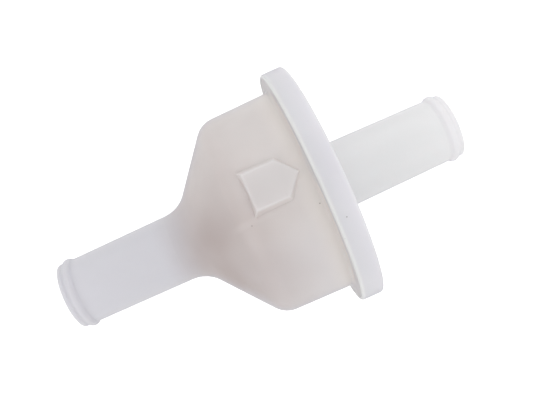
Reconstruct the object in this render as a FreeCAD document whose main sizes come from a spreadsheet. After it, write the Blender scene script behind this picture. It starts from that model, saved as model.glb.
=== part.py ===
import FreeCAD, Part
import math
import os
import Sketcher

# In-line check valve for a 19 mm hose. +X is the way the water flows, from the inlet spigot at -X
# to the outlet spigot at +X. +Z is up, through the flat flow arrow. The origin is the middle of the
# valve's box. Every turned piece is drawn as a half section (x along the flow, y the radius) and
# revolved about X. Lengths are in millimetres.

doc = FreeCAD.newDocument("check_valve")
sheet = doc.addObject("Spreadsheet::Sheet", "Sizes")

SIZES = {
    # hose spigots
    "inlet_length": 37.2,
    "inlet_tip_radius": 9.45,
    "inlet_root_radius": 9.8,
    "outlet_length": 37.2,
    "outlet_tip_radius": 9.2,
    "outlet_root_radius": 9.75,
    "outlet_root_fillet": 1.2,
    "bore_radius": 7.5,
    "bead_height": 0.7,
    "bead_width": 2.5,
    "bead_setback": 2.7,
    "bead_blend": 0.8,
    "tip_round": 0.4,
    # cone and chamber
    "wall": 2.0,
    "cone_length": 15.6,
    "neck_fillet": 9.4,
    "shoulder_fillet": 7.1,
    "chamber_length": 20.4,
    "chamber_radius": 29.1,
    "chamber_draft": 0.4,
    # flange, where the cap snaps onto the body
    "flange_radius": 34.5,
    "lip_thickness": 1.0,
    "lip_fillet": 1.0,
    "seam_round": 0.08,
    "rim_width": 1.2,
    "rim_round": 0.8,
    "cap_thickness": 5.4,
    "cap_face": 2.8,
    "cap_round": 0.9,
    "mouth_round": 1.2,
    "skirt_thickness": 2.2,
    "skirt_clearance": 0.1,
    "end_gap": 0.1,
    "snap_height": 0.3,
    "snap_width": 1.0,
    "snap_setback": 0.5,
    # flow arrow
    "arrow_start": 4.6,
    "arrow_block": 8.5,
    "arrow_width": 9.6,
    "arrow_point": 4.3,
    "arrow_height": 0.6,
    "arrow_slope": 42.0,
    "arrow_root": 1.1,
    "arrow_round": 0.5,
    # face seal in the end of the body's tongue
    "o_ring_width": 1.5,
    "o_ring_groove_depth": 1.2,
    "o_ring_side_gap": 0.1,
    "o_ring_round": 0.55,
    # guide cage and bush
    "ring_depth": 2.0,
    "ring_ledge": 1.0,
    "ring_width": 3.0,
    "ring_clearance": 0.1,
    "hub_radius": 5.6,
    "hub_length": 8.0,
    "outlet_gap": 5.4,
    "arm_width": 2.4,
    "arm_count": 4,
    "arm_bury": 0.8,
    "bush_wall": 1.05,
    "bush_flange": 1.0,
    "bush_flange_width": 0.4,
    # poppet
    "seat_radius": 14.0,
    "seat_gap": 0.25,
    "seal_thickness": 3.0,
    "seal_hole_radius": 6.0,
    "seal_hole_clearance": 0.05,
    "clamp_gap": 0.1,
    "head_setback": 0.5,
    "head_thickness": 2.5,
    "cup_height": 1.5,
    "cup_wall": 1.4,
    "cup_slope": 4.0,
    "cup_clearance": 0.2,
    "stop_radius": 3.6,
    "stem_radius": 2.5,
    "stem_clearance": 0.05,
    "stem_tail": 1.5,
    "lift": 6.0,
    "stop_margin": 0.3,
    # seal retainer and its screw
    "retainer_thickness": 1.5,
    "retainer_clearance": 0.8,
    "retainer_chamfer": 0.5,
    "screw_radius": 1.5,
    "screw_hole_clearance": 0.2,
    "screw_head_radius": 3.0,
    "screw_head_height": 1.8,
    "screw_length": 7.0,
    "screw_hole_spare": 1.0,
    "screw_slot_width": 0.8,
    "screw_slot_depth": 0.9,
    # stem clip
    "clip_play": 0.5,
    "clip_thickness": 0.6,
    "clip_radius": 4.2,
    "clip_groove_depth": 0.6,
    "clip_groove_spare": 0.05,
    # return spring
    "spring_wire": 0.8,
    "spring_gap": 0.3,
    "spring_turns": 6.0,
    "washer_thickness": 0.5,
    # how far a slot's cut runs past the piece
    "cut_overrun": 1.0,
}

for row, (alias, number) in enumerate(SIZES.items(), 1):
    sheet.set(f"A{row}", alias)
    sheet.set(f"B{row}", str(number))
    sheet.setAlias(f"B{row}", alias)
doc.recompute()

# A face counts as level when the Z of its normal is above this.
LEVEL_NORMAL = 0.99

# Stations along X, each an expression on the sheet.
LENGTHS = ("inlet_length", "cone_length", "chamber_length", "lip_thickness", "cap_thickness", "outlet_length")
HALF_LENGTH = "((" + " + ".join("Sizes." + name for name in LENGTHS) + ") / 2)"
INLET_TIP = f"(-{HALF_LENGTH})"
NECK = f"({INLET_TIP} + Sizes.inlet_length)"
SHOULDER = f"({NECK} + Sizes.cone_length)"
LIP_FACE = f"({SHOULDER} + Sizes.chamber_length)"
PARTING = f"({LIP_FACE} + Sizes.lip_thickness)"
CAP_BACK = f"({PARTING} + Sizes.cap_thickness)"
OUTLET_TIP = HALF_LENGTH
CAP_FLOOR = f"({CAP_BACK} - Sizes.cap_face)"
TONGUE_END = f"({CAP_FLOOR} - Sizes.end_gap)"
RING_SEAT = f"({TONGUE_END} - Sizes.ring_depth)"
GROOVE_FLOOR = f"({TONGUE_END} - Sizes.o_ring_groove_depth)"
SNAP_START = f"({PARTING} + Sizes.snap_setback)"
SNAP_PEAK = f"({SNAP_START} + Sizes.snap_width / 2)"
SNAP_END = f"({SNAP_START} + Sizes.snap_width)"

# Radii of the housing.
CHAMBER_END = "(Sizes.chamber_radius + Sizes.chamber_draft)"
CHAMBER_INNER = "(Sizes.chamber_radius - Sizes.wall)"
CHAMBER_INNER_END = f"({CHAMBER_END} - Sizes.wall)"
TONGUE_RADIUS = "(Sizes.flange_radius - Sizes.skirt_thickness - Sizes.skirt_clearance)"
SKIRT_INNER = "(Sizes.flange_radius - Sizes.skirt_thickness)"
RIM_INNER = "(Sizes.flange_radius - Sizes.rim_width)"
LIP_RADIUS = f"({RIM_INNER} - Sizes.skirt_clearance)"
RING_POCKET = f"({CHAMBER_INNER_END} + Sizes.ring_ledge)"
GROOVE_MIDDLE = f"(({RING_POCKET} + {TONGUE_RADIUS}) / 2)"
GROOVE_HALF = "(Sizes.o_ring_width / 2 + Sizes.o_ring_side_gap)"

# The cone's wall: its slope, and the length of its slanted side over its length along X.
SLOPE = "((Sizes.chamber_radius - Sizes.inlet_root_radius) / Sizes.cone_length)"
LEAN = f"sqrt(1 + {SLOPE}^2)"


def inner_cone(radius):
    """The x where the inside of the cone has this radius."""
    return f"({NECK} + (({radius}) - Sizes.inlet_root_radius + Sizes.wall * {LEAN}) / {SLOPE})"


# Stations and radii of the moving pieces, with the valve shut.
SEAL_MIDDLE = inner_cone("Sizes.seat_radius")
SEAL_FRONT = f"({SEAL_MIDDLE} - Sizes.seal_thickness / 2)"
SEAL_REAR = f"({SEAL_MIDDLE} + Sizes.seal_thickness / 2)"
SEAL_SPREAD = f"(Sizes.seal_thickness / 2 * {SLOPE})"
SEAL_RADIUS = f"(Sizes.seat_radius - Sizes.seat_gap * {LEAN})"
HEAD_RADIUS = f"({SEAL_RADIUS} + {SEAL_SPREAD} - Sizes.head_setback)"
HEAD_REAR = f"({SEAL_REAR} + Sizes.head_thickness)"
CUP_REAR = f"({HEAD_REAR} + Sizes.cup_height)"
BOSS_FRONT = f"({SEAL_FRONT} + Sizes.clamp_gap)"
BOSS_RADIUS = "(Sizes.seal_hole_radius - Sizes.seal_hole_clearance)"
RETAINER_FRONT = f"({SEAL_FRONT} - Sizes.retainer_thickness)"
RETAINER_RADIUS = (
    f"(Sizes.seat_radius - {SEAL_SPREAD} - Sizes.retainer_thickness * {SLOPE} - Sizes.retainer_clearance)"
)
SCREW_END = f"({RETAINER_FRONT} + Sizes.screw_length)"
HUB_REAR = f"({CAP_FLOOR} - Sizes.outlet_gap)"
HUB_FRONT = f"({HUB_REAR} - Sizes.hub_length)"
BUSH_FRONT = f"({HUB_FRONT} - Sizes.bush_flange)"
STOP_FACE = f"({BUSH_FRONT} - Sizes.stop_margin - Sizes.lift)"
CLIP_FRONT = f"({HUB_REAR} + Sizes.clip_play)"
CLIP_REAR = f"({CLIP_FRONT} + Sizes.clip_thickness)"
STEM_END = f"({CLIP_REAR} + Sizes.stem_tail)"
CLIP_GROOVE = "(Sizes.stem_radius - Sizes.clip_groove_depth)"
BUSH_BORE = "(Sizes.stem_radius + Sizes.stem_clearance)"
BUSH_RADIUS = f"({BUSH_BORE} + Sizes.bush_wall)"
BUSH_FLANGE_RADIUS = f"({BUSH_RADIUS} + Sizes.bush_flange_width)"
SPRING_INNER = f"({BUSH_FLANGE_RADIUS} + Sizes.spring_gap)"
SPRING_MIDDLE = f"({SPRING_INNER} + Sizes.spring_wire / 2)"
SPRING_OUTER = f"({SPRING_INNER} + Sizes.spring_wire)"
WASHER_REAR = f"({HEAD_REAR} + Sizes.washer_thickness)"
WASHER_RADIUS = f"({SPRING_OUTER} + Sizes.cup_clearance)"
CUP_INNER = f"({WASHER_RADIUS} + Sizes.cup_clearance)"
CUP_OUTER = f"({CUP_INNER} + Sizes.cup_wall)"


def value(expression):
    """The number that an expression on the sheet gives."""
    return float(sheet.evalExpression(expression))


def new_body(label):
    body = doc.addObject("PartDesign::Body", label)
    body.Label = label
    body.Placement = FreeCAD.Placement()
    return body


def origin_part(body, role):
    """The body's own origin plane or axis with this role."""
    return next(part for part in body.Origin.OriginFeatures if part.Role == role)


def new_sketch(body, name, role="XY_Plane"):
    sketch = body.newObject("Sketcher::SketchObject", name)
    sketch.AttachmentSupport = [(origin_part(body, role), "")]
    sketch.MapMode = "FlatFace"
    return sketch


def bind(sketch, kind, *rest):
    """Add a dimension whose last argument is the expression that drives it."""
    expression = rest[-1]
    number = sketch.addConstraint(Sketcher.Constraint(kind, *rest[:-1], value(expression)))
    sketch.setExpression(f"Constraints[{number}]", expression)


def hold_point(sketch, line, end, x, y):
    """Hold one end of a line at (x, y), both expressions."""
    bind(sketch, "DistanceX", -1, 1, line, end, x)
    if y == "0":
        sketch.addConstraint(Sketcher.Constraint("PointOnObject", line, end, -1))
    else:
        bind(sketch, "DistanceY", -1, 1, line, end, y)


def outline(sketch, corners):
    """A closed polygon through the corners, each a pair of expressions."""
    points = [FreeCAD.Vector(value(x), value(y), 0) for x, y in corners]
    count = len(points)
    for line in range(count):
        sketch.addGeometry(Part.LineSegment(points[line], points[(line + 1) % count]), False)
    for line in range(count):
        sketch.addConstraint(Sketcher.Constraint("Coincident", line, 2, (line + 1) % count, 1))
    for line, (x, y) in enumerate(corners):
        hold_point(sketch, line, 1, x, y)


def revolve(body, sketch, name):
    turned = body.newObject("PartDesign::Revolution", name)
    turned.Profile = sketch
    turned.ReferenceAxis = (sketch, ["H_Axis"])
    turned.Angle = 360
    return turned


def turn(body, name, corners):
    """Revolve a half section about X."""
    sketch = new_sketch(body, name + "_section")
    outline(sketch, corners)
    return revolve(body, sketch, name)


def ring_edges(shape, spots, reach):
    """Names of the full circles about X that pass within reach of each (x, radius) spot."""
    names = []
    for number, edge in enumerate(shape.Edges, 1):
        if not isinstance(edge.Curve, Part.Circle) or abs(abs(edge.Curve.Axis.x) - 1) > 1e-6:
            continue
        for x, radius in spots:
            if math.hypot(edge.Curve.Center.x - value(x), edge.Curve.Radius - value(radius)) < reach:
                names.append(f"Edge{number}")
                break
    if len(names) != len(spots):
        raise RuntimeError(f"{len(names)} rings found for {len(spots)} spots")
    return names


def dress_rings(body, name, kind, size, spots, reach=0.02):
    """Round or chamfer the ring edges at the spots. Size is an expression."""
    doc.recompute()
    base = body.Tip
    names = ring_edges(base.Shape, spots, reach)
    feature = body.newObject(f"PartDesign::{kind}", name)
    feature.Base = (base, names)
    feature.setExpression("Radius" if kind == "Fillet" else "Size", size)
    return feature


def hose_bead(body, name, middle, radius):
    """A rounded ring that keeps a hose on: an arc over a chord a little under the spigot's surface."""
    curve = "((Sizes.bead_width^2 / 4 + Sizes.bead_height^2) / (2 * Sizes.bead_height))"
    centre = f"({radius} + Sizes.bead_height - {curve})"
    chord = f"({radius} - Sizes.bead_height / 2)"
    sweep = math.asin((value(chord) - value(centre)) / value(curve))
    sketch = new_sketch(body, name + "_section")
    middle_point = FreeCAD.Vector(value(middle), value(centre), 0)
    circle = Part.Circle(middle_point, FreeCAD.Vector(0, 0, 1), value(curve))
    arc = Part.ArcOfCircle(circle, sweep, math.pi - sweep)
    sketch.addGeometry(arc, False)
    sketch.addGeometry(Part.LineSegment(arc.EndPoint, arc.StartPoint), False)
    sketch.addConstraint(Sketcher.Constraint("Coincident", 0, 2, 1, 1))
    sketch.addConstraint(Sketcher.Constraint("Coincident", 1, 2, 0, 1))
    sketch.addConstraint(Sketcher.Constraint("Horizontal", 1))
    hold_point(sketch, 0, 3, middle, centre)
    bind(sketch, "Radius", 0, curve)
    bind(sketch, "DistanceY", -1, 1, 1, 1, chord)
    revolve(body, sketch, name)
    sides = [(f"({middle} {sign} Sizes.bead_width / 2)", radius) for sign in "-+"]
    dress_rings(body, name + "_blend", "Fillet", "Sizes.bead_blend", sides, reach=0.15)


def cross_prism(body, name, kind, corners, width, role="XY_Plane"):
    """Pad or pocket an outline by an equal half width on both sides of its plane."""
    doc.recompute()
    sketch = new_sketch(body, name + "_outline", role)
    outline(sketch, corners)
    prism = body.newObject(f"PartDesign::{kind}", name)
    prism.Profile = sketch
    prism.SideType = "Symmetric"
    prism.setExpression("Length", width)
    return prism


def box_corners(x_low, x_high, y_low, y_high):
    return [(x_low, y_low), (x_high, y_low), (x_high, y_high), (x_low, y_high)]


def inlet_body():
    """Inlet spigot, cone and chamber in one moulding, with the lip and tongue that take the cap."""
    body = new_body("inlet_body")
    inner_neck = inner_cone("Sizes.bore_radius")
    inner_shoulder = inner_cone(CHAMBER_INNER)
    groove_outer = f"({GROOVE_MIDDLE} + {GROOVE_HALF})"
    groove_inner = f"({GROOVE_MIDDLE} - {GROOVE_HALF})"
    bead_middle = f"({INLET_TIP} + Sizes.bead_setback)"
    turn(body, "shell", [
        (INLET_TIP, "Sizes.bore_radius"),
        (INLET_TIP, "Sizes.inlet_tip_radius"),
        (bead_middle, "Sizes.inlet_tip_radius"),
        (NECK, "Sizes.inlet_root_radius"),
        (SHOULDER, "Sizes.chamber_radius"),
        (LIP_FACE, CHAMBER_END),
        (LIP_FACE, LIP_RADIUS),
        (PARTING, LIP_RADIUS),
        (PARTING, TONGUE_RADIUS),
        (SNAP_START, TONGUE_RADIUS),
        (SNAP_PEAK, f"({TONGUE_RADIUS} + Sizes.snap_height)"),
        (SNAP_END, TONGUE_RADIUS),
        (TONGUE_END, TONGUE_RADIUS),
        (TONGUE_END, groove_outer),
        (GROOVE_FLOOR, groove_outer),
        (GROOVE_FLOOR, groove_inner),
        (TONGUE_END, groove_inner),
        (TONGUE_END, RING_POCKET),
        (RING_SEAT, RING_POCKET),
        (RING_SEAT, CHAMBER_INNER_END),
        (inner_shoulder, CHAMBER_INNER),
        (inner_neck, "Sizes.bore_radius"),
    ])
    dress_rings(body, "neck", "Fillet", "Sizes.neck_fillet", [(NECK, "Sizes.inlet_root_radius")])
    throat = [(inner_neck, "Sizes.bore_radius")]
    dress_rings(body, "throat", "Fillet", "Sizes.neck_fillet + Sizes.wall", throat)
    dress_rings(body, "shoulder", "Fillet", "Sizes.shoulder_fillet", [(SHOULDER, "Sizes.chamber_radius")])
    corner = [(inner_shoulder, CHAMBER_INNER)]
    dress_rings(body, "inner_shoulder", "Fillet", "Sizes.shoulder_fillet - Sizes.wall", corner)
    dress_rings(body, "lip_root", "Fillet", "Sizes.lip_fillet", [(LIP_FACE, CHAMBER_END)])
    dress_rings(body, "lip_edge", "Fillet", "Sizes.seam_round", [(LIP_FACE, LIP_RADIUS)])
    dress_rings(body, "tip", "Fillet", "Sizes.tip_round", [(INLET_TIP, "Sizes.inlet_tip_radius")])
    hose_bead(body, "bead", bead_middle, "Sizes.inlet_tip_radius")
    flow_arrow(body)
    return body


def flow_arrow(body):
    """Flat five-sided plate on top of the chamber. Its point shows the way to the outlet."""
    doc.recompute()
    start = f"({SHOULDER} + Sizes.arrow_start)"
    block_end = f"({start} + Sizes.arrow_block)"
    side = "(Sizes.arrow_width / 2)"
    sketch = new_sketch(body, "arrow_outline")
    outline(sketch, [
        (start, f"(-{side})"),
        (block_end, f"(-{side})"),
        (f"({block_end} + Sizes.arrow_point)", "0"),
        (block_end, side),
        (start, side),
    ])
    top_height = "Sizes.chamber_radius + Sizes.chamber_draft / 2 + Sizes.arrow_height"
    sketch.setExpression(".AttachmentOffset.Base.z", top_height)
    plate = body.newObject("PartDesign::Pad", "arrow")
    plate.Profile = sketch
    plate.Reversed = True
    plate.setExpression("Length", "Sizes.arrow_root + Sizes.chamber_draft / 2 + Sizes.arrow_height")
    plate.setExpression("TaperAngle", "Sizes.arrow_slope")
    doc.recompute()
    level_faces = [face for face in plate.Shape.Faces if face.normalAt(0, 0).z > LEVEL_NORMAL]
    highest = max(level_faces, key=lambda face: face.CenterOfMass.z)
    names = []
    for number, edge in enumerate(plate.Shape.Edges, 1):
        if any(edge.isSame(rim) for rim in highest.Edges):
            names.append(f"Edge{number}")
    rounding = body.newObject("PartDesign::Fillet", "arrow_edges")
    rounding.Base = (plate, names)
    rounding.setExpression("Radius", "Sizes.arrow_round")


def outlet_cap():
    """Flange and outlet spigot in one moulding. Its skirt snaps over the body's tongue, round the lip."""
    body = new_body("outlet_cap")
    bead_middle = f"({OUTLET_TIP} - Sizes.bead_setback)"
    turn(body, "shell", [
        (PARTING, SKIRT_INNER),
        (PARTING, RIM_INNER),
        (LIP_FACE, RIM_INNER),
        (LIP_FACE, "Sizes.flange_radius"),
        (CAP_BACK, "Sizes.flange_radius"),
        (CAP_BACK, "Sizes.outlet_root_radius"),
        (bead_middle, "Sizes.outlet_tip_radius"),
        (OUTLET_TIP, "Sizes.outlet_tip_radius"),
        (OUTLET_TIP, "Sizes.bore_radius"),
        (CAP_FLOOR, "Sizes.bore_radius"),
        (CAP_FLOOR, SKIRT_INNER),
        (SNAP_END, SKIRT_INNER),
        (SNAP_PEAK, f"({SKIRT_INNER} + Sizes.snap_height)"),
        (SNAP_START, SKIRT_INNER),
    ])
    dress_rings(body, "back_edge", "Fillet", "Sizes.cap_round", [(CAP_BACK, "Sizes.flange_radius")])
    dress_rings(body, "rim_edge", "Fillet", "Sizes.rim_round", [(LIP_FACE, "Sizes.flange_radius")])
    dress_rings(body, "seam_edge", "Fillet", "Sizes.seam_round", [(LIP_FACE, RIM_INNER)])
    dress_rings(body, "root", "Fillet", "Sizes.outlet_root_fillet", [(CAP_BACK, "Sizes.outlet_root_radius")])
    dress_rings(body, "mouth", "Fillet", "Sizes.mouth_round", [(CAP_FLOOR, "Sizes.bore_radius")])
    dress_rings(body, "tip", "Fillet", "Sizes.tip_round", [(OUTLET_TIP, "Sizes.outlet_tip_radius")])
    hose_bead(body, "bead", bead_middle, "Sizes.outlet_tip_radius")
    return body


def flange_o_ring():
    """Face seal, drawn squeezed between its groove's floor and the cap."""
    body = new_body("flange_o_ring")
    low = f"({GROOVE_MIDDLE} - Sizes.o_ring_width / 2)"
    high = f"({GROOVE_MIDDLE} + Sizes.o_ring_width / 2)"
    turn(body, "ring", box_corners(GROOVE_FLOOR, CAP_FLOOR, low, high))
    corners = [(x, radius) for x in (GROOVE_FLOOR, CAP_FLOOR) for radius in (low, high)]
    dress_rings(body, "section", "Fillet", "Sizes.o_ring_round", corners)
    return body


def guide_cage():
    """Ring clamped between body and cap, with sloping arms that carry the hub ahead of the outlet."""
    body = new_body("guide_cage")
    ring_outer = f"({RING_POCKET} - Sizes.ring_clearance)"
    ring_inner = f"({ring_outer} - Sizes.ring_width)"
    arm_foot = f"({ring_inner} + Sizes.arm_bury)"
    arm_root = "(Sizes.hub_radius - Sizes.arm_bury)"
    turn(body, "hub", box_corners(HUB_FRONT, HUB_REAR, BUSH_RADIUS, "Sizes.hub_radius"))
    arm = cross_prism(body, "arm", "Pad", [
        (f"({HUB_FRONT} + Sizes.arm_bury)", arm_root),
        (HUB_REAR, arm_root),
        (CAP_FLOOR, arm_foot),
        (RING_SEAT, arm_foot),
    ], "Sizes.arm_width", "XZ_Plane")
    arms = body.newObject("PartDesign::PolarPattern", "arms")
    arms.Originals = [arm]
    arms.Axis = (origin_part(body, "X_Axis"), [""])
    arms.Angle = 360
    arms.setExpression("Occurrences", "Sizes.arm_count")
    body.Tip = arms
    turn(body, "ring", box_corners(RING_SEAT, CAP_FLOOR, ring_inner, ring_outer))
    return body


def guide_bush():
    """Flanged sleeve pressed into the hub. The stem runs in it."""
    body = new_body("guide_bush")
    turn(body, "sleeve", [
        (BUSH_FRONT, BUSH_BORE),
        (BUSH_FRONT, BUSH_FLANGE_RADIUS),
        (HUB_FRONT, BUSH_FLANGE_RADIUS),
        (HUB_FRONT, BUSH_RADIUS),
        (HUB_REAR, BUSH_RADIUS),
        (HUB_REAR, BUSH_BORE),
    ])
    return body


def poppet():
    """Head, spring cup, lift stop and stem in one moulding."""
    body = new_body("poppet")
    hole_end = f"({SCREW_END} + Sizes.screw_hole_spare)"
    groove_front = f"({CLIP_FRONT} - Sizes.clip_groove_spare)"
    groove_rear = f"({CLIP_REAR} + Sizes.clip_groove_spare)"
    turn(body, "shape", [
        (BOSS_FRONT, "Sizes.screw_radius"),
        (BOSS_FRONT, BOSS_RADIUS),
        (SEAL_REAR, BOSS_RADIUS),
        (SEAL_REAR, HEAD_RADIUS),
        (HEAD_REAR, HEAD_RADIUS),
        (HEAD_REAR, f"({CUP_OUTER} + Sizes.cup_slope)"),
        (CUP_REAR, CUP_OUTER),
        (CUP_REAR, CUP_INNER),
        (HEAD_REAR, CUP_INNER),
        (HEAD_REAR, "Sizes.stop_radius"),
        (STOP_FACE, "Sizes.stop_radius"),
        (STOP_FACE, "Sizes.stem_radius"),
        (groove_front, "Sizes.stem_radius"),
        (groove_front, CLIP_GROOVE),
        (groove_rear, CLIP_GROOVE),
        (groove_rear, "Sizes.stem_radius"),
        (STEM_END, "Sizes.stem_radius"),
        (STEM_END, "0"),
        (hole_end, "0"),
        (hole_end, "Sizes.screw_radius"),
    ])
    dress_rings(body, "stem_tip", "Chamfer", "Sizes.clip_groove_depth", [(STEM_END, "Sizes.stem_radius")])
    return body


def valve_seal():
    """Soft washer whose slanted edge closes on the cone."""
    body = new_body("valve_seal")
    turn(body, "washer", [
        (SEAL_FRONT, "Sizes.seal_hole_radius"),
        (SEAL_FRONT, f"({SEAL_RADIUS} - {SEAL_SPREAD})"),
        (SEAL_REAR, f"({SEAL_RADIUS} + {SEAL_SPREAD})"),
        (SEAL_REAR, "Sizes.seal_hole_radius"),
    ])
    return body


def seal_retainer():
    """Disc that clamps the seal against the poppet's head."""
    body = new_body("seal_retainer")
    hole = "(Sizes.screw_radius + Sizes.screw_hole_clearance)"
    turn(body, "disc", box_corners(RETAINER_FRONT, SEAL_FRONT, hole, RETAINER_RADIUS))
    dress_rings(body, "edge", "Chamfer", "Sizes.retainer_chamfer", [(RETAINER_FRONT, RETAINER_RADIUS)])
    return body


def retainer_screw():
    """Slotted screw that holds the retainer."""
    body = new_body("retainer_screw")
    head_front = f"({RETAINER_FRONT} - Sizes.screw_head_height)"
    turn(body, "screw", [
        (head_front, "0"),
        (head_front, "Sizes.screw_head_radius"),
        (RETAINER_FRONT, "Sizes.screw_head_radius"),
        (RETAINER_FRONT, "Sizes.screw_radius"),
        (SCREW_END, "Sizes.screw_radius"),
        (SCREW_END, "0"),
    ])
    past = "(Sizes.screw_head_radius + Sizes.cut_overrun)"
    slot_start = f"({head_front} - Sizes.cut_overrun)"
    slot_floor = f"({head_front} + Sizes.screw_slot_depth)"
    slot = box_corners(slot_start, slot_floor, f"(-{past})", past)
    cross_prism(body, "slot", "Pocket", slot, "Sizes.screw_slot_width")
    return body


def stem_clip():
    """Open ring in the stem's groove. It keeps poppet and cage together."""
    body = new_body("stem_clip")
    turn(body, "ring", box_corners(CLIP_FRONT, CLIP_REAR, CLIP_GROOVE, "Sizes.clip_radius"))
    gap_start = f"({CLIP_FRONT} - Sizes.cut_overrun)"
    gap_end = f"({CLIP_REAR} + Sizes.cut_overrun)"
    gap = box_corners(gap_start, gap_end, "0", "(Sizes.clip_radius + Sizes.cut_overrun)")
    cross_prism(body, "gap", "Pocket", gap, f"2 * {CLIP_GROOVE}")
    return body


def spring_washer():
    """Flat washer that keeps the spring's end off the poppet's plastic."""
    body = new_body("spring_washer")
    hole = "(Sizes.stop_radius + Sizes.cup_clearance / 2)"
    turn(body, "washer", box_corners(HEAD_REAR, WASHER_REAR, hole, WASHER_RADIUS))
    return body


def return_spring():
    """Round wire wound about X, between the washer and the hub."""
    body = new_body("return_spring")
    sketch = new_sketch(body, "wire_section")
    start = f"({WASHER_REAR} + Sizes.spring_wire / 2)"
    centre = FreeCAD.Vector(value(start), value(SPRING_MIDDLE), 0)
    sketch.addGeometry(Part.Circle(centre, FreeCAD.Vector(0, 0, 1), value("Sizes.spring_wire / 2")), False)
    hold_point(sketch, 0, 3, start, SPRING_MIDDLE)
    bind(sketch, "Radius", 0, "Sizes.spring_wire / 2")
    coil = body.newObject("PartDesign::AdditiveHelix", "coil")
    coil.Profile = sketch
    coil.ReferenceAxis = (sketch, ["H_Axis"])
    coil.Mode = "height-turns-angle"
    coil.setExpression("Height", f"{HUB_FRONT} - {WASHER_REAR} - Sizes.spring_wire")
    coil.setExpression("Turns", "Sizes.spring_turns")
    return body


PIECES = (
    inlet_body,
    outlet_cap,
    flange_o_ring,
    guide_cage,
    guide_bush,
    poppet,
    valve_seal,
    seal_retainer,
    retainer_screw,
    stem_clip,
    spring_washer,
    return_spring,
)
bodies = [piece() for piece in PIECES]
doc.recompute()

for item in doc.Objects:
    if "Invalid" in item.State or "Error" in item.State:
        raise RuntimeError(f"{item.Label} did not build: {item.State}")
for body in bodies:
    if body.Shape.isNull() or not body.Shape.isValid() or len(body.Shape.Solids) != 1:
        raise RuntimeError(f"{body.Label} is not one valid solid")

os.makedirs("parts", exist_ok=True)
for body in bodies:
    body.Shape.exportStep(f"parts/{body.Label}.step")
    box = body.Shape.BoundBox
    print(f"{body.Label}: {body.Shape.Volume:.0f} mm3, x {box.XMin:.2f} to {box.XMax:.2f}, r {box.ZMax:.2f}")
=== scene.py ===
# %% [markdown]
# # An in-line check valve in milky plastic
# The valve sits between two lengths of hose and lets water through one way only. Its design, sizes and
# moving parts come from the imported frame. This script gives every piece its finish, winds the return
# spring, and sets up the camera, the lights and the pale floor. All lengths are metres.

# %% Load the frame
import math

import bpy
from mathutils import Matrix, Vector


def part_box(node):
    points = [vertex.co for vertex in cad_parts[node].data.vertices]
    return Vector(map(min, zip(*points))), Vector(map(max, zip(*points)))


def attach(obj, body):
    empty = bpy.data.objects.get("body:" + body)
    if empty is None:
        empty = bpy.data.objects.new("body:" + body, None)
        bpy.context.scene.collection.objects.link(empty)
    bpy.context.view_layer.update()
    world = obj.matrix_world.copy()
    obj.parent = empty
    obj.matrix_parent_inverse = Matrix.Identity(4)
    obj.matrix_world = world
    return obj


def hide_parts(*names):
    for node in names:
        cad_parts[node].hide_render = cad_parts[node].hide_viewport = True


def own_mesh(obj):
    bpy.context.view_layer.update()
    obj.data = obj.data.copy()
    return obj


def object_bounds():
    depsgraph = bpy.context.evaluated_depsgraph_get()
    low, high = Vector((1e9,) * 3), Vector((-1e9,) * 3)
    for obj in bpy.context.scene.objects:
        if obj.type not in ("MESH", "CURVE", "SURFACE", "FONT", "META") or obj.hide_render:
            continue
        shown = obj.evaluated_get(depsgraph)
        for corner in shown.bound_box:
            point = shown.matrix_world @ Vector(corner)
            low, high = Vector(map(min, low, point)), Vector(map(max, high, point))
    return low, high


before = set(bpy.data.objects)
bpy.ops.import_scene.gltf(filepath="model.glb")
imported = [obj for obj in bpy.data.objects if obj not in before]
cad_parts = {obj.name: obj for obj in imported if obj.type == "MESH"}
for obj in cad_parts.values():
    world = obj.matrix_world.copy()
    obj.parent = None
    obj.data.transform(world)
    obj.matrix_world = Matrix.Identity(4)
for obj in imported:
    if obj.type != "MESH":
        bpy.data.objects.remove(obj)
frame_low, frame_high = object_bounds()
MM = 0.001
scene = bpy.context.scene
scene.view_settings.view_transform = "Standard"
print("frame box in mm:", [round(n / MM, 1) for n in (*frame_low, *frame_high)])

# %% [markdown]
# ## Camera
# The valve is seen from almost straight above, with its flow arrow facing us and the outlet end raised to
# the right. A camera can be aimed with a "track to" constraint, but then its roll is hard to state. Here
# the view is built from three turns about the valve's own axes: lean round the flow axis, swing along it,
# and roll about the line of sight.

# %% Camera
LENS = 45.2
DISTANCE = 189.7 * MM
LEAN = math.radians(10.3)
SWING = math.radians(-0.785)
ROLL = math.radians(-24.42)
AIM = Vector((2.45 * MM, 0, 0))
AXIS_DROP = 2.06 * MM


def add_camera():
    """A camera that looks down on the flow arrow, rolled so that the outlet rises to the right."""
    camera = bpy.data.objects.new("camera", bpy.data.cameras.new("camera"))
    scene.collection.objects.link(camera)
    turns = Matrix.Rotation(LEAN, 4, "X") @ Matrix.Rotation(SWING, 4, "Y") @ Matrix.Rotation(ROLL, 4, "Z")
    offset = Vector((AXIS_DROP * math.sin(ROLL), AXIS_DROP * math.cos(ROLL), DISTANCE))
    camera.matrix_world = Matrix.Translation(AIM) @ turns @ Matrix.Translation(offset)
    camera.data.lens = LENS
    camera.data.sensor_width = 36
    camera.data.clip_start = 10 * MM
    camera.data.clip_end = 10
    scene.camera = camera
    return camera


camera = add_camera()
print("camera at", [round(n / MM, 1) for n in camera.matrix_world.translation], "mm")

# %% [markdown]
# ## Node helpers
# Every finish below is made from the same few steps: take the point on the piece, make some noise from
# it, stretch the noise to a useful range, and mix two colours with it. Writing each step once keeps the
# materials short enough to read.

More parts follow.
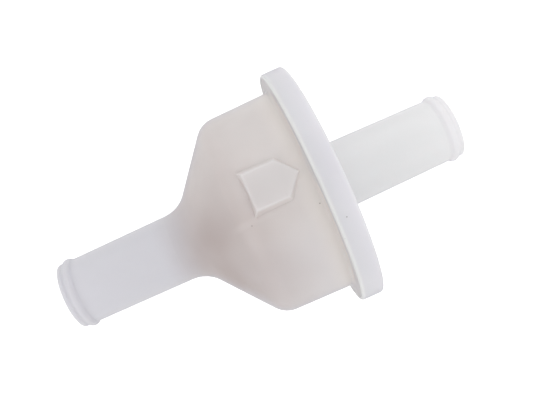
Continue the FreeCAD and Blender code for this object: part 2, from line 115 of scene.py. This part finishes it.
# %% Node helpers
def new_finish(name, colour, roughness):
    """A material with one Principled shader. Returns the material, its node tree and the shader."""
    material = bpy.data.materials.new(name)
    material.use_nodes = True
    tree = material.node_tree
    shader = tree.nodes["Principled BSDF"]
    shader.inputs["Base Color"].default_value = (*colour, 1)
    shader.inputs["Roughness"].default_value = roughness
    return material, tree, shader


def feed(tree, socket, value):
    """Join a node's output to a socket, or set the socket if the value is a plain number or colour."""
    if isinstance(value, bpy.types.NodeSocket):
        tree.links.new(value, socket)
    elif isinstance(value, tuple) and len(value) == 3 and len(socket.default_value) == 4:
        socket.default_value = (*value, 1)
    else:
        socket.default_value = value


def point_on(tree):
    """The point being shaded, in the valve's frame."""
    return tree.nodes.new("ShaderNodeTexCoord").outputs["Object"]


def stretched(tree, point, scale):
    """The point with each axis scaled by its own amount."""
    node = tree.nodes.new("ShaderNodeVectorMath")
    node.operation = "MULTIPLY"
    feed(tree, node.inputs[0], point)
    node.inputs[1].default_value = scale
    return node.outputs["Vector"]


def noise(tree, point, size, detail=3.0, rough=0.5):
    """Cloudy noise from 0 to 1 whose lumps are about this size."""
    node = tree.nodes.new("ShaderNodeTexNoise")
    node.inputs["Scale"].default_value = 1 / size
    node.inputs["Detail"].default_value = detail
    node.inputs["Roughness"].default_value = rough
    feed(tree, node.inputs["Vector"], point)
    return node.outputs["Fac"]


def spread(tree, value, low, high, to_low=0.0, to_high=1.0):
    """Stretch the range low..high to to_low..to_high, softly, and hold it beyond the ends."""
    node = tree.nodes.new("ShaderNodeMapRange")
    node.interpolation_type = "SMOOTHSTEP"
    feed(tree, node.inputs["Value"], value)
    node.inputs["From Min"].default_value = low
    node.inputs["From Max"].default_value = high
    node.inputs["To Min"].default_value = to_low
    node.inputs["To Max"].default_value = to_high
    return node.outputs["Result"]


def sums(tree, operation, first, second):
    """One step of arithmetic on two values."""
    node = tree.nodes.new("ShaderNodeMath")
    node.operation = operation
    feed(tree, node.inputs[0], first)
    feed(tree, node.inputs[1], second)
    return node.outputs["Value"]


def blend(tree, share, first, second):
    """Mix two colours. A share of 0 gives the first."""
    node = tree.nodes.new("ShaderNodeMix")
    node.data_type = "RGBA"
    feed(tree, node.inputs["Factor"], share)
    feed(tree, node.inputs["A"], first)
    feed(tree, node.inputs["B"], second)
    return node.outputs["Result"]


def along(tree, point, axis):
    """The point's place along X, Y or Z."""
    node = tree.nodes.new("ShaderNodeSeparateXYZ")
    feed(tree, node.inputs["Vector"], point)
    return node.outputs[axis]


def edge(tree):
    """0 where the surface is seen straight on, 1 where it turns away."""
    node = tree.nodes.new("ShaderNodeLayerWeight")
    node.inputs["Blend"].default_value = 0.5
    return node.outputs["Facing"]


def press_in(tree, shader, height, depth):
    """Give the surface a relief of this depth."""
    node = tree.nodes.new("ShaderNodeBump")
    node.inputs["Strength"].default_value = 1.0
    node.inputs["Distance"].default_value = depth
    feed(tree, node.inputs["Height"], height)
    tree.links.new(node.outputs["Normal"], shader.inputs["Normal"])


def wear(piece, material):
    """Put a finish on a CAD piece."""
    for slot in piece.material_slots:
        slot.material = material


# %% [markdown]
# ## Milky plastic
# The body and the cap are moulded in natural polyethylene, which is not painted or filled: light goes in,
# scatters, and comes out again a few millimetres away. A plain white surface looks like plaster, and
# clear plastic looks like glass. Subsurface scattering gives the soft glow, and a small share of
# transmission lets a little light through. With a share of 0.12 the seal inside does not show. With 0.45
# the whole valve turns grey and still no stain stands out. With 0.7 the seal does show, as a warm stain
# where cone meets neck, but the valve is far too dark. So the share stays small, and the seal showing
# through is painted shade instead: a soft warm patch in the plastic's colour along the flow axis where
# the seal is, painted darker still towards -Y as shade on that side.
#
# The rest is what marks a moulding that has been handled: a drift in the tone and a few burnt specks.
# Beside the arrow a faint pale line is painted, and the outline gets painted shade, where edges look
# deeper because more plastic stands behind them.

# %% Marks in the plastic
NOISE_SPAN = (0.3, 0.7)
SPECK_CELL = 9 * MM
SPECK_RADIUS = 0.13 * MM
SPECK_CHANCE = 0.28
BIG_SPECK_RADIUS = 0.22 * MM
BIG_SPECKS_MM = ((-3.7, -7.3, 28.0), (17.5, -15.1, 31.0), (13.4, -9.1, 28.0), (15.1, -19.4, 28.5))
# Painted shade where the seal shows through the wall, stronger towards -Y as painted shade on that side.
SEAL_SHADE_GROWS = (-31 * MM, -17 * MM)
SEAL_SHADE_FADES = (-21 * MM, 16 * MM)
SIDE_SHADE_Y = (-16 * MM, 24 * MM)
SIDE_SHADE_SHARES = (1.1, 0.45)
SEAL_SHADE_THINNEST = 0.75
SEAL_SHADE_LUMP = 16 * MM
PALE_STREAK_Y = -6.5 * MM
PALE_STREAK_GROWS = (-10 * MM, -6 * MM)
PALE_STREAK_FADES = (0, 4 * MM)
PALE_STREAK_HALF_WIDTH = (0.2 * MM, 1.3 * MM)
PALE_STREAK_SHARE = 0.18


def specks(tree, point):
    """1 on a tiny burnt speck, 0 elsewhere: a few in known places, and some strewn all round."""
    cells = tree.nodes.new("ShaderNodeTexVoronoi")
    cells.inputs["Scale"].default_value = 1 / SPECK_CELL
    feed(tree, cells.inputs["Vector"], point)
    near = spread(tree, cells.outputs["Distance"], 0, SPECK_RADIUS / SPECK_CELL, 1, 0)
    draw = along(tree, cells.outputs["Color"], "X")
    found = sums(tree, "MULTIPLY", near, sums(tree, "LESS_THAN", draw, SPECK_CHANCE))
    for place in BIG_SPECKS_MM:
        gap = tree.nodes.new("ShaderNodeVectorMath")
        gap.operation = "DISTANCE"
        feed(tree, gap.inputs[0], point)
        gap.inputs[1].default_value = Vector(place) * MM
        speck = spread(tree, gap.outputs["Value"], 0, BIG_SPECK_RADIUS, 1, 0)
        found = sums(tree, "MAXIMUM", found, speck)
    return found


def seal_and_side_shade(tree, point):
    """How strong the painted shade is: the seal seen through the wall, most where cone meets neck, and
    weaker towards +Y.
    """
    x = along(tree, point, "X")
    grows = spread(tree, x, *SEAL_SHADE_GROWS)
    fades = spread(tree, x, *SEAL_SHADE_FADES, 1, 0)
    side = spread(tree, along(tree, point, "Y"), *SIDE_SHADE_Y, *SIDE_SHADE_SHARES)
    uneven = spread(tree, noise(tree, point, SEAL_SHADE_LUMP, detail=1), *NOISE_SPAN, SEAL_SHADE_THINNEST, 1)
    return sums(tree, "MULTIPLY", sums(tree, "MULTIPLY", grows, fades), sums(tree, "MULTIPLY", side, uneven))


def pale_streak(tree, point):
    """A faint pale line on the upper side, beside the arrow towards -Y."""
    x = along(tree, point, "X")
    off = sums(tree, "ABSOLUTE", sums(tree, "SUBTRACT", along(tree, point, "Y"), PALE_STREAK_Y), 0.0)
    across = spread(tree, off, *PALE_STREAK_HALF_WIDTH, PALE_STREAK_SHARE, 0)
    upper_side = sums(tree, "GREATER_THAN", along(tree, point, "Z"), 0.0)
    grows = spread(tree, x, *PALE_STREAK_GROWS)
    fades = spread(tree, x, *PALE_STREAK_FADES, 1, 0)
    band = sums(tree, "MULTIPLY", across, upper_side)
    return sums(tree, "MULTIPLY", band, sums(tree, "MULTIPLY", grows, fades))


print(len(BIG_SPECKS_MM), "specks in known places; stain from", round(SEAL_SHADE_GROWS[0] / MM), "mm")

# %% Milky plastic
CLOUD_SIZE = 14 * MM
CLOUD_SPAN = (0.35, 0.65)
SPIGOT_END = 24 * MM
BEAD_FROM_MIDDLE = (52 * MM, 55.5 * MM)
BEAD_SHADE_TONE = 0.95
SCATTER = 3 * MM
CLEARNESS = 0.12
SATIN = (0.28, 0.44)
RUB_SIZE = 5 * MM
GRAIN_SIZE = 0.5 * MM
GRAIN_SHARE = 0.15
RIPPLE_SIZE = 6 * MM
RELIEF = 0.06 * MM
BURNT = (0.10, 0.07, 0.06)
EDGE_STARTS = 0.65
OUTLINE_SHADE_SHARE = 0.6
OUTLINE_SHADE = (0.56, 0.55, 0.62)

BODY_LIGHT = (0.80, 0.755, 0.742)
BODY_DARK = (0.775, 0.73, 0.716)
# The inlet spigot's darker bluish grey is partly its own see-through tone and partly painted shade.
INLET_SPIGOT = (0.72, 0.715, 0.755)
INLET_SPIGOT_STARTS = 14 * MM
SHADED_SIDE = (0.78, 0.755, 0.77)
SHADED_Y = (-20 * MM, -7 * MM)
SHADED_SHARE = 0.6
SEAL_SHADE_COLOUR = (0.52, 0.445, 0.43)
LIP = (0.89, 0.825, 0.79)
LIP_X = (8 * MM, 15 * MM)
ARROW_TOP = (0.76, 0.745, 0.755)
ARROW_TOP_Z = (29.35 * MM, 29.8 * MM)
ARROW_TOP_SHARE = 0.5
PALE_STREAK_COLOUR = (0.82, 0.77, 0.755)

CAP_LIGHT = (0.80, 0.79, 0.83)
CAP_DARK = (0.78, 0.77, 0.81)
# The outlet spigot's near white is partly painted light that lifts the shade the flange casts on it.
OUTLET_SPIGOT = (0.96, 0.938, 0.99)
OUTLET_SPIGOT_STARTS = 21 * MM
FRONT_EDGE_HIGHLIGHT = (0.98, 0.98, 0.96)
FRONT_EDGE_HIGHLIGHT_X = (14.9 * MM, 15.9 * MM)


def milky_plastic(name, light, dark, spigot, spigot_start):
    """Natural polyethylene. Light and dark are the ends of its cloudiness, and spigot its colour there.

    Returns the material, and its node tree, shader, point and colour for the marks to come.
    """
    material, tree, shader = new_finish(name, light, 0.4)
    point = point_on(tree)
    cloud = noise(tree, point, CLOUD_SIZE, detail=2)
    colour = blend(tree, spread(tree, cloud, *CLOUD_SPAN), light, dark)
    from_middle = sums(tree, "ABSOLUTE", along(tree, point, "X"), 0.0)
    # The spigot colours take over towards the ends: partly painted shade on the inlet, painted light on the
    # outlet.
    colour = blend(tree, spread(tree, from_middle, spigot_start, SPIGOT_END), colour, spigot)
    # Painted shade: the bead band near each spigot's end is made a little darker.
    bead = spread(tree, from_middle, *BEAD_FROM_MIDDLE)
    colour = blend(tree, bead, colour, tuple(BEAD_SHADE_TONE * part for part in spigot))
    shader.inputs["Subsurface Weight"].default_value = 1.0
    shader.inputs["Subsurface Radius"].default_value = (1.0, 0.95, 0.95)
    shader.inputs["Subsurface Scale"].default_value = SCATTER
    shader.inputs["Transmission Weight"].default_value = CLEARNESS
    shader.inputs["IOR"].default_value = 1.5
    rubbed = noise(tree, point, RUB_SIZE, detail=6, rough=0.65)
    feed(tree, shader.inputs["Roughness"], spread(tree, rubbed, *NOISE_SPAN, *SATIN))
    grain = noise(tree, point, GRAIN_SIZE, detail=4)
    ripple = noise(tree, stretched(tree, point, (0.25, 1, 1)), RIPPLE_SIZE, detail=1)
    relief = sums(tree, "ADD", sums(tree, "MULTIPLY", grain, GRAIN_SHARE), ripple)
    press_in(tree, shader, relief, RELIEF)
    return material, tree, shader, point, colour


def finish_plastic(tree, shader, point, colour):
    """The marks that body and cap share: painted shade along the outline, and burnt specks."""
    # Painted shade along the outline: darker where the surface turns away from view.
    outline_darkening = spread(tree, edge(tree), EDGE_STARTS, 1.0, 0, OUTLINE_SHADE_SHARE)
    colour = blend(tree, outline_darkening, colour, OUTLINE_SHADE)
    colour = blend(tree, specks(tree, point), colour, BURNT)
    feed(tree, shader.inputs["Base Color"], colour)


def body_finish():
    """Warm milky plastic with painted shade for the seal seen through the wall and on the -Y side, the pale
    lip that is partly painted light, the thick arrow, the faint pale line beside it and the shared marks.
    """
    material, tree, shader, point, colour = milky_plastic(
        "body_plastic", BODY_LIGHT, BODY_DARK, INLET_SPIGOT, INLET_SPIGOT_STARTS
    )
    shaded = spread(tree, along(tree, point, "Y"), *SHADED_Y, SHADED_SHARE, 0)
    colour = blend(tree, shaded, colour, SHADED_SIDE)
    # Painted shade: the seal seen through the wall, darker towards -Y.
    colour = blend(tree, seal_and_side_shade(tree, point), colour, SEAL_SHADE_COLOUR)
    # The lip is painted paler: partly where the wall is doubled, partly as painted light that lifts the
    # shade in the corner by the flange.
    lip = spread(tree, along(tree, point, "X"), *LIP_X)
    colour = blend(tree, lip, colour, LIP)
    thick = spread(tree, along(tree, point, "Z"), *ARROW_TOP_Z, 0, ARROW_TOP_SHARE)
    colour = blend(tree, thick, colour, ARROW_TOP)
    colour = blend(tree, pale_streak(tree, point), colour, PALE_STREAK_COLOUR)
    finish_plastic(tree, shader, point, colour)
    return material


def cap_finish():
    """Bluish milky plastic, with a painted highlight on the thin front edge that stands round the body's
    lip.
    """
    material, tree, shader, point, colour = milky_plastic(
        "cap_plastic", CAP_LIGHT, CAP_DARK, OUTLET_SPIGOT, OUTLET_SPIGOT_STARTS
    )
    # Painted highlight along the rounded front edge of the cap's rim.
    front_edge_highlight = spread(tree, along(tree, point, "X"), *FRONT_EDGE_HIGHLIGHT_X, 1, 0)
    colour = blend(tree, front_edge_highlight, colour, FRONT_EDGE_HIGHLIGHT)
    finish_plastic(tree, shader, point, colour)
    return material


wear(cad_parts["inlet_body"], body_finish())
wear(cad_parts["outlet_cap"], cap_finish())
print("milky plastic on inlet_body and outlet_cap")

# %% [markdown]
# ## Inner mouldings
# The poppet, its retainer and the guide cage are plain injection mouldings. They are only seen down the
# spigots, so a base colour that drifts, a satin gloss and the fine pebbling of a spark-eroded mould are
# enough.

# %% Inner mouldings
DRIFT_SIZE = 8 * MM
PEBBLE_SIZE = 0.35 * MM
PEBBLE_DEPTH = 0.02 * MM
INNER_SCATTER = 0.8 * MM


def moulded(name, light, dark, roughness):
    """Opaque moulded plastic with a pebbled skin."""
    material, tree, shader = new_finish(name, light, roughness)
    point = point_on(tree)
    feed(tree, shader.inputs["Base Color"], blend(tree, noise(tree, point, DRIFT_SIZE), light, dark))
    pebble = noise(tree, point, PEBBLE_SIZE, detail=3)
    satin = spread(tree, pebble, *NOISE_SPAN, roughness - 0.06, roughness + 0.08)
    feed(tree, shader.inputs["Roughness"], satin)
    press_in(tree, shader, pebble, PEBBLE_DEPTH)
    shader.inputs["Subsurface Weight"].default_value = 0.3
    shader.inputs["Subsurface Scale"].default_value = INNER_SCATTER
    return material


poppet_plastic = moulded("poppet_plastic", (0.50, 0.36, 0.30), (0.44, 0.31, 0.26), 0.42)
guide_plastic = moulded("guide_plastic", (0.78, 0.76, 0.73), (0.72, 0.70, 0.66), 0.45)
bush_plastic = moulded("bush_plastic", (0.84, 0.83, 0.80), (0.80, 0.79, 0.76), 0.3)
for name in ("poppet", "seal_retainer"):
    wear(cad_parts[name], poppet_plastic)
wear(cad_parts["guide_cage"], guide_plastic)
wear(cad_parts["guide_bush"], bush_plastic)
print("moulded finish on poppet, retainer, cage and bush")

# %% [markdown]
# ## Rubber
# The valve seal is a salmon-brown silicone washer and the flange seal a pale grey ring. Rubber is matt,
# with a dusty bloom that changes its roughness from place to place more than its colour.

# %% Rubber
DUST_SIZE = 3 * MM
DUST_SPAN = (0.4, 0.75)
DUST_ROUGHNESS = (0.6, 0.85)
RUBBER_GRAIN = 0.25 * MM
RUBBER_DEPTH = 0.015 * MM


def rubber(name, colour, bloom):
    """Matt rubber. Bloom is the paler colour that the dust gives it."""
    material, tree, shader = new_finish(name, colour, 0.7)
    point = point_on(tree)
    dust = spread(tree, noise(tree, point, DUST_SIZE, detail=5, rough=0.6), *DUST_SPAN)
    feed(tree, shader.inputs["Base Color"], blend(tree, dust, colour, bloom))
    feed(tree, shader.inputs["Roughness"], spread(tree, dust, 0, 1, *DUST_ROUGHNESS))
    press_in(tree, shader, noise(tree, point, RUBBER_GRAIN, detail=4), RUBBER_DEPTH)
    return material


seal_rubber = rubber("seal_rubber", (0.30, 0.12, 0.085), (0.38, 0.18, 0.14))
ring_rubber = rubber("ring_rubber", (0.40, 0.39, 0.38), (0.50, 0.49, 0.48))
wear(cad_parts["valve_seal"], seal_rubber)
wear(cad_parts["flange_o_ring"], ring_rubber)
print("rubber on valve_seal and flange_o_ring")

# %% [markdown]
# ## Stainless steel
# Screw, clip, washer and spring are stainless. Turned and stamped steel carries fine lines that run round
# the axis, so the noise is squeezed hard along X, where neighbouring lines lie, and left long round it.

# %% Stainless steel
LINE_DEPTH = 0.004 * MM
LINE_STRETCH = (1, 0.05, 0.05)


def steel(name, roughness, line):
    """Bright steel with fine lines round the flow axis, one every few hundredths of a millimetre."""
    material, tree, shader = new_finish(name, (0.62, 0.61, 0.60), roughness)
    point = point_on(tree)
    shader.inputs["Metallic"].default_value = 1.0
    lines = noise(tree, stretched(tree, point, LINE_STRETCH), line, detail=4)
    feed(tree, shader.inputs["Base Color"], blend(tree, lines, (0.66, 0.65, 0.63), (0.50, 0.50, 0.50)))
    brushed = spread(tree, lines, *NOISE_SPAN, roughness - 0.08, roughness + 0.1)
    feed(tree, shader.inputs["Roughness"], brushed)
    press_in(tree, shader, lines, LINE_DEPTH)
    return material


stamped_steel = steel("stamped_steel", 0.28, 0.08 * MM)
spring_steel = steel("spring_steel", 0.22, 0.05 * MM)
for name in ("retainer_screw", "stem_clip", "spring_washer"):
    wear(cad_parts[name], stamped_steel)
print("steel on screw, clip and washer")

# %% [markdown]
# ## Return spring
# The spring pushes the poppet shut. A curve with a round bevel would make the coil in a few lines, but the
# ends of a real compression spring are closed up and ground flat, and that needs the tube's own points.
# So the wire is a mesh tube whose middle line is worked out turn by turn, and every point that would
# stand past the ground ends is pushed back onto them.

# %% Return spring
WIRE = 0.8 * MM
TURNS = 7.0
CLOSED_TURNS = 1.0
STEPS_PER_TURN = 40
WIRE_SIDES = 14
GRIND = 0.3

spring_low, spring_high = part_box("return_spring")
coil_radius = (spring_high.z - spring_low.z) / 2 - WIRE / 2
coil_length = spring_high.x - spring_low.x


def wire_place(turn):
    """How far along the spring the wire's middle is after this many turns, from 0 to 1 of its length."""
    closed_rise = CLOSED_TURNS * WIRE * (1 - GRIND / 2)
    open_rise = coil_length - WIRE * (1 - GRIND) - 2 * closed_rise
    if turn < CLOSED_TURNS:
        rise = turn / CLOSED_TURNS * closed_rise
    elif turn > TURNS - CLOSED_TURNS:
        rise = coil_length - WIRE * (1 - GRIND) - (TURNS - turn) / CLOSED_TURNS * closed_rise
    else:
        share = (turn - CLOSED_TURNS) / (TURNS - 2 * CLOSED_TURNS)
        rise = closed_rise + open_rise * share
    return spring_low.x + WIRE * (1 - GRIND) / 2 + rise


def wind_spring():
    """The coil as a mesh tube that follows wire_place, with its ends cut flat."""
    steps = round(TURNS * STEPS_PER_TURN)
    points = []
    for step in range(steps + 1):
        turn = step / STEPS_PER_TURN
        angle = math.tau * turn
        outward = Vector((0, math.cos(angle), math.sin(angle)))
        middle = Vector((wire_place(turn), 0, 0)) + outward * coil_radius
        for side in range(WIRE_SIDES):
            round_wire = math.tau * side / WIRE_SIDES
            point = middle + outward * (math.cos(round_wire) * WIRE / 2)
            point.x += math.sin(round_wire) * WIRE / 2
            point.x = min(max(point.x, spring_low.x), spring_high.x)
            points.append(point)
    faces = []
    for step in range(steps):
        start = step * WIRE_SIDES
        for side in range(WIRE_SIDES):
            beside = (side + 1) % WIRE_SIDES
            ahead = start + WIRE_SIDES
            faces.append((start + side, start + beside, ahead + beside, ahead + side))
    last = steps * WIRE_SIDES
    faces.append(tuple(reversed(range(WIRE_SIDES))))
    faces.append(tuple(last + side for side in range(WIRE_SIDES)))
    mesh = bpy.data.meshes.new("return_spring_coil")
    mesh.from_pydata(points, [], faces)
    mesh.validate()
    mesh.shade_smooth()
    mesh.materials.append(spring_steel)
    spring = bpy.data.objects.new("return_spring_coil", mesh)
    scene.collection.objects.link(spring)
    return spring


spring = wind_spring()
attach(spring, "housing")
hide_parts("return_spring")
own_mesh(spring)

# %% [markdown]
# ## Floor and light
# The valve lies on white in even light. The floor gives off light of its own so that it stays white under
# the piece, with only a trace of shadow. Milky plastic looks best in light from all round, so
# the sky does most of the work. Three weak lamps give the form its last few tones: the key from above on
# the +Y side, a small one from the inlet end that catches the arrow's slopes and the flange's front edge,
# and one from the outlet end on the -Y side.

# %% Floor and light
FLOOR_HALF = 3.0
FLOOR_GIVES = 0.35
FLOOR_SEEN = 0.9
SKY_GIVES = 0.865
LAMPS = (
    ("key", (0.25, 0.50, 0.45), 0.7, 0.8),
    ("fill", (-0.45, -0.25, 0.30), 0.25, 0.35),
    ("side", (0.35, -0.45, 0.30), 0.4, 0.42),
)


def add_floor():
    """A wide white floor under the valve, bright to the eye but giving only a little light."""
    z = frame_low.z
    corners = [(-FLOOR_HALF, -FLOOR_HALF, z), (FLOOR_HALF, -FLOOR_HALF, z)]
    corners += [(FLOOR_HALF, FLOOR_HALF, z), (-FLOOR_HALF, FLOOR_HALF, z)]
    mesh = bpy.data.meshes.new("floor")
    mesh.from_pydata(corners, [], [(0, 1, 2, 3)])
    material, tree, shader = new_finish("pale_floor", (0.5, 0.5, 0.5), 1.0)
    shader.inputs["Specular IOR Level"].default_value = 0
    shader.inputs["Emission Color"].default_value = (1, 1, 1, 1)
    seen = tree.nodes.new("ShaderNodeLightPath").outputs["Is Camera Ray"]
    feed(tree, shader.inputs["Emission Strength"], spread(tree, seen, 0, 1, FLOOR_GIVES, FLOOR_SEEN))
    mesh.materials.append(material)
    floor = bpy.data.objects.new("floor", mesh)
    scene.collection.objects.link(floor)


def add_lamp(name, place, size, power):
    """A square soft white lamp aimed at the valve."""
    lamp = bpy.data.objects.new(name, bpy.data.lights.new(name, "AREA"))
    scene.collection.objects.link(lamp)
    lamp.data.size = size
    lamp.data.energy = power
    lamp.location = place
    lamp.rotation_euler = (-Vector(place)).to_track_quat("-Z", "Y").to_euler()


def light_sky(strength):
    """An even sky that lights the piece and looks white where the floor ends."""
    scene.world = bpy.data.worlds.new("sky")
    scene.world.use_nodes = True
    tree = scene.world.node_tree
    sky = tree.nodes["Background"]
    sky.inputs["Color"].default_value = (1, 1, 1, 1)
    seen = tree.nodes.new("ShaderNodeLightPath").outputs["Is Camera Ray"]
    feed(tree, sky.inputs["Strength"], spread(tree, seen, 0, 1, strength, 1))


add_floor()
for name, place, size, power in LAMPS:
    add_lamp(name, place, size, power)
light_sky(SKY_GIVES)
print("floor at", round(frame_low.z / MM, 1), "mm,", len(LAMPS), "lamps and a sky")

# %% Finish
print("scene set up")
